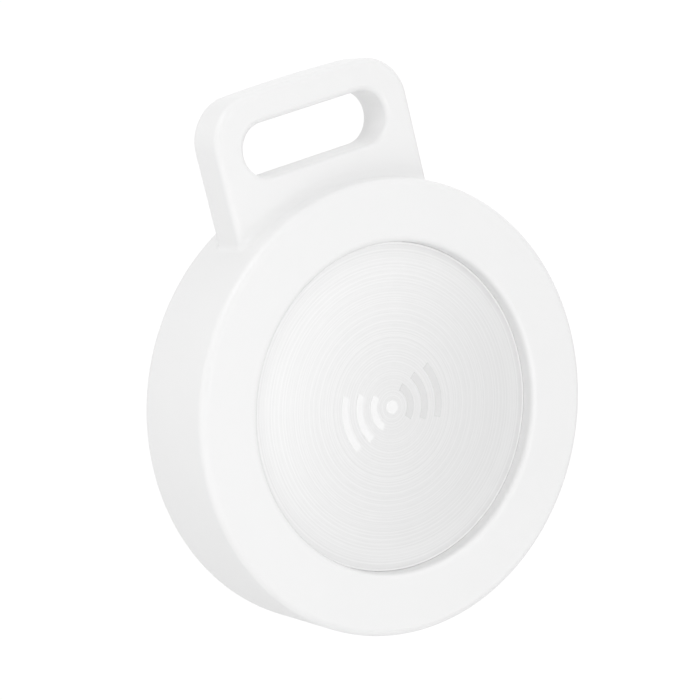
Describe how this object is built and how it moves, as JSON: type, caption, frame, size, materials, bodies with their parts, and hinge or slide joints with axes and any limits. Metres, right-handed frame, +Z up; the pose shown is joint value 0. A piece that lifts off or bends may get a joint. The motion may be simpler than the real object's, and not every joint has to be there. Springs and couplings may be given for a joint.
{
  "type": "bluetooth tracker tag",
  "caption": "Round keyring tracker tag: white ring housing with a slotted strap tab, a spun metal front button and a pull-off rear cover over a coin cell.",
  "frame": {"origin": "centre of the strap slot, halfway through the tab, where the tag hangs from its strap or ring", "axes": "+Z up from the puck through the tab, front face with the button toward -Y, rear cover toward +Y, +X to the right seen from the front"},
  "size_m": [0.036, 0.0088, 0.0448],
  "materials": {
    "housing_plastic": "fine moulded satin",
    "button_metal": "spun, pale anodised",
    "silicone": "soft silicone",
    "switch_plastic": "moulded",
    "switch_steel": "stamped",
    "board_laminate": "solder mask",
    "chip_resin": "moulded resin",
    "crystal_metal": "plated lid",
    "capacitor_ceramic": "fired ceramic with tinned ends",
    "resistor_ceramic": "coated ceramic with tinned ends",
    "antenna_ceramic": "fired ceramic with plated ends",
    "contact_metal": "plated spring strip",
    "film": "thin amber film",
    "tray_plastic": "moulded",
    "screw_steel": "zinc plated",
    "cell_steel": "nickel-plated",
    "cell_seal": "moulded",
    "foam": "soft closed-cell foam",
    "cathode_mix": "pressed powder",
    "separator_paper": "felted sheet",
    "anode_metal": "soft rolled foil"
  },
  "bodies": {
    "housing": {"front_housing": "housing_plastic", "button_ring": "silicone", "switch_base": "switch_plastic", "switch_frame": "switch_steel", "switch_dome": "switch_steel", "circuit_board": "board_laminate", "radio_chip": "chip_resin", "main_crystal": "crystal_metal", "clock_crystal": "crystal_metal", "motion_sensor": "chip_resin", "flash_chip": "chip_resin", "capacitors": "capacitor_ceramic", "resistors": "resistor_ceramic", "inductor": "chip_resin", "chip_antenna": "antenna_ceramic", "buzzer_case": "chip_resin", "buzzer_membrane": "switch_steel", "buzzer_terminals": "contact_metal", "positive_contact": "contact_metal", "negative_contact": "contact_metal", "board_film": "film", "battery_tray": "tray_plastic", "tray_screws": "screw_steel"},
    "button": {"button_cap": "button_metal", "switch_stem": "switch_plastic"},
    "coin_cell": {"cell_can": "cell_steel", "cell_gasket": "cell_seal", "cell_cap": "cell_steel", "cell_cathode": "cathode_mix", "cell_separator": "separator_paper", "cell_anode": "anode_metal"},
    "cover": {"rear_cover": "housing_plastic", "cover_seal": "silicone", "foam_pad": "foam"}
  },
  "joints": [
    {"name": "button_press", "type": "slide", "parent": "housing", "child": "button", "axis": [0, 1, 0], "range_m": [0, 0.00025], "stiffness_N_per_m": 6000, "springref_m": -0.00005, "deforming": ["button_ring", "switch_dome"]},
    {"name": "cover_pull", "type": "slide", "parent": "housing", "child": "cover", "axis": [0, 1, 0], "range_m": [0, 0.012]},
    {"name": "cell_out", "type": "slide", "parent": "housing", "child": "coin_cell", "axis": [0, 1, 0], "range_m": [0, 0.006]}
  ],
  "couplings": [
    {"joint": "cell_out", "follows": "cover_pull", "ratio": 0.5}
  ]
}
